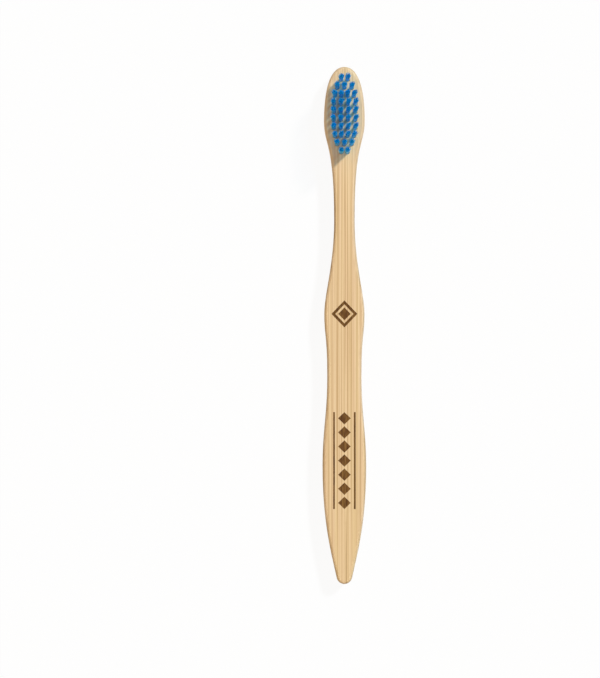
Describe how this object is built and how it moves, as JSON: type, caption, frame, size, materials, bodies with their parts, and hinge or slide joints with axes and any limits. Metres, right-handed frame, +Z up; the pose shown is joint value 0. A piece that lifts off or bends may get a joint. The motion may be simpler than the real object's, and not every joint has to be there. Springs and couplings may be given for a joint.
{
  "type": "manual toothbrush",
  "caption": "Flat bamboo toothbrush with a waisted, tapering handle and an oval head, whose folded blue nylon tufts are each held in a blind hole by a metal anchor.",
  "frame": {"origin": "on the resting surface, under the middle of the brush's length and width", "axes": "+X along the handle towards the head, +Z up the way the bristles point, brush lying on its back"},
  "size_m": [0.18, 0.0152, 0.0175],
  "materials": {
    "bamboo": "sanded bamboo with straight lengthwise grain, lightly waxed",
    "bristle_nylon": "satin, slightly translucent nylon filament",
    "anchor_brass": "plain rolled strip"
  },
  "bodies": {
    "root": {"handle": "bamboo", "tuft_anchors": "anchor_brass", "tuft_row01_1": "bristle_nylon", "tuft_row01_2": "bristle_nylon", "tuft_row02_1": "bristle_nylon", "tuft_row02_2": "bristle_nylon", "tuft_row02_3": "bristle_nylon", "tuft_row03_1": "bristle_nylon", "tuft_row03_2": "bristle_nylon", "tuft_row03_3": "bristle_nylon", "tuft_row03_4": "bristle_nylon", "tuft_row04_1": "bristle_nylon", "tuft_row04_2": "bristle_nylon", "tuft_row04_3": "bristle_nylon", "tuft_row04_4": "bristle_nylon", "tuft_row05_1": "bristle_nylon", "tuft_row05_2": "bristle_nylon", "tuft_row05_3": "bristle_nylon", "tuft_row05_4": "bristle_nylon", "tuft_row06_1": "bristle_nylon", "tuft_row06_2": "bristle_nylon", "tuft_row06_3": "bristle_nylon", "tuft_row06_4": "bristle_nylon", "tuft_row07_1": "bristle_nylon", "tuft_row07_2": "bristle_nylon", "tuft_row07_3": "bristle_nylon", "tuft_row07_4": "bristle_nylon", "tuft_row08_1": "bristle_nylon", "tuft_row08_2": "bristle_nylon", "tuft_row08_3": "bristle_nylon", "tuft_row08_4": "bristle_nylon", "tuft_row09_1": "bristle_nylon", "tuft_row09_2": "bristle_nylon", "tuft_row09_3": "bristle_nylon", "tuft_row10_1": "bristle_nylon", "tuft_row10_2": "bristle_nylon"}
  },
  "joints": []
}
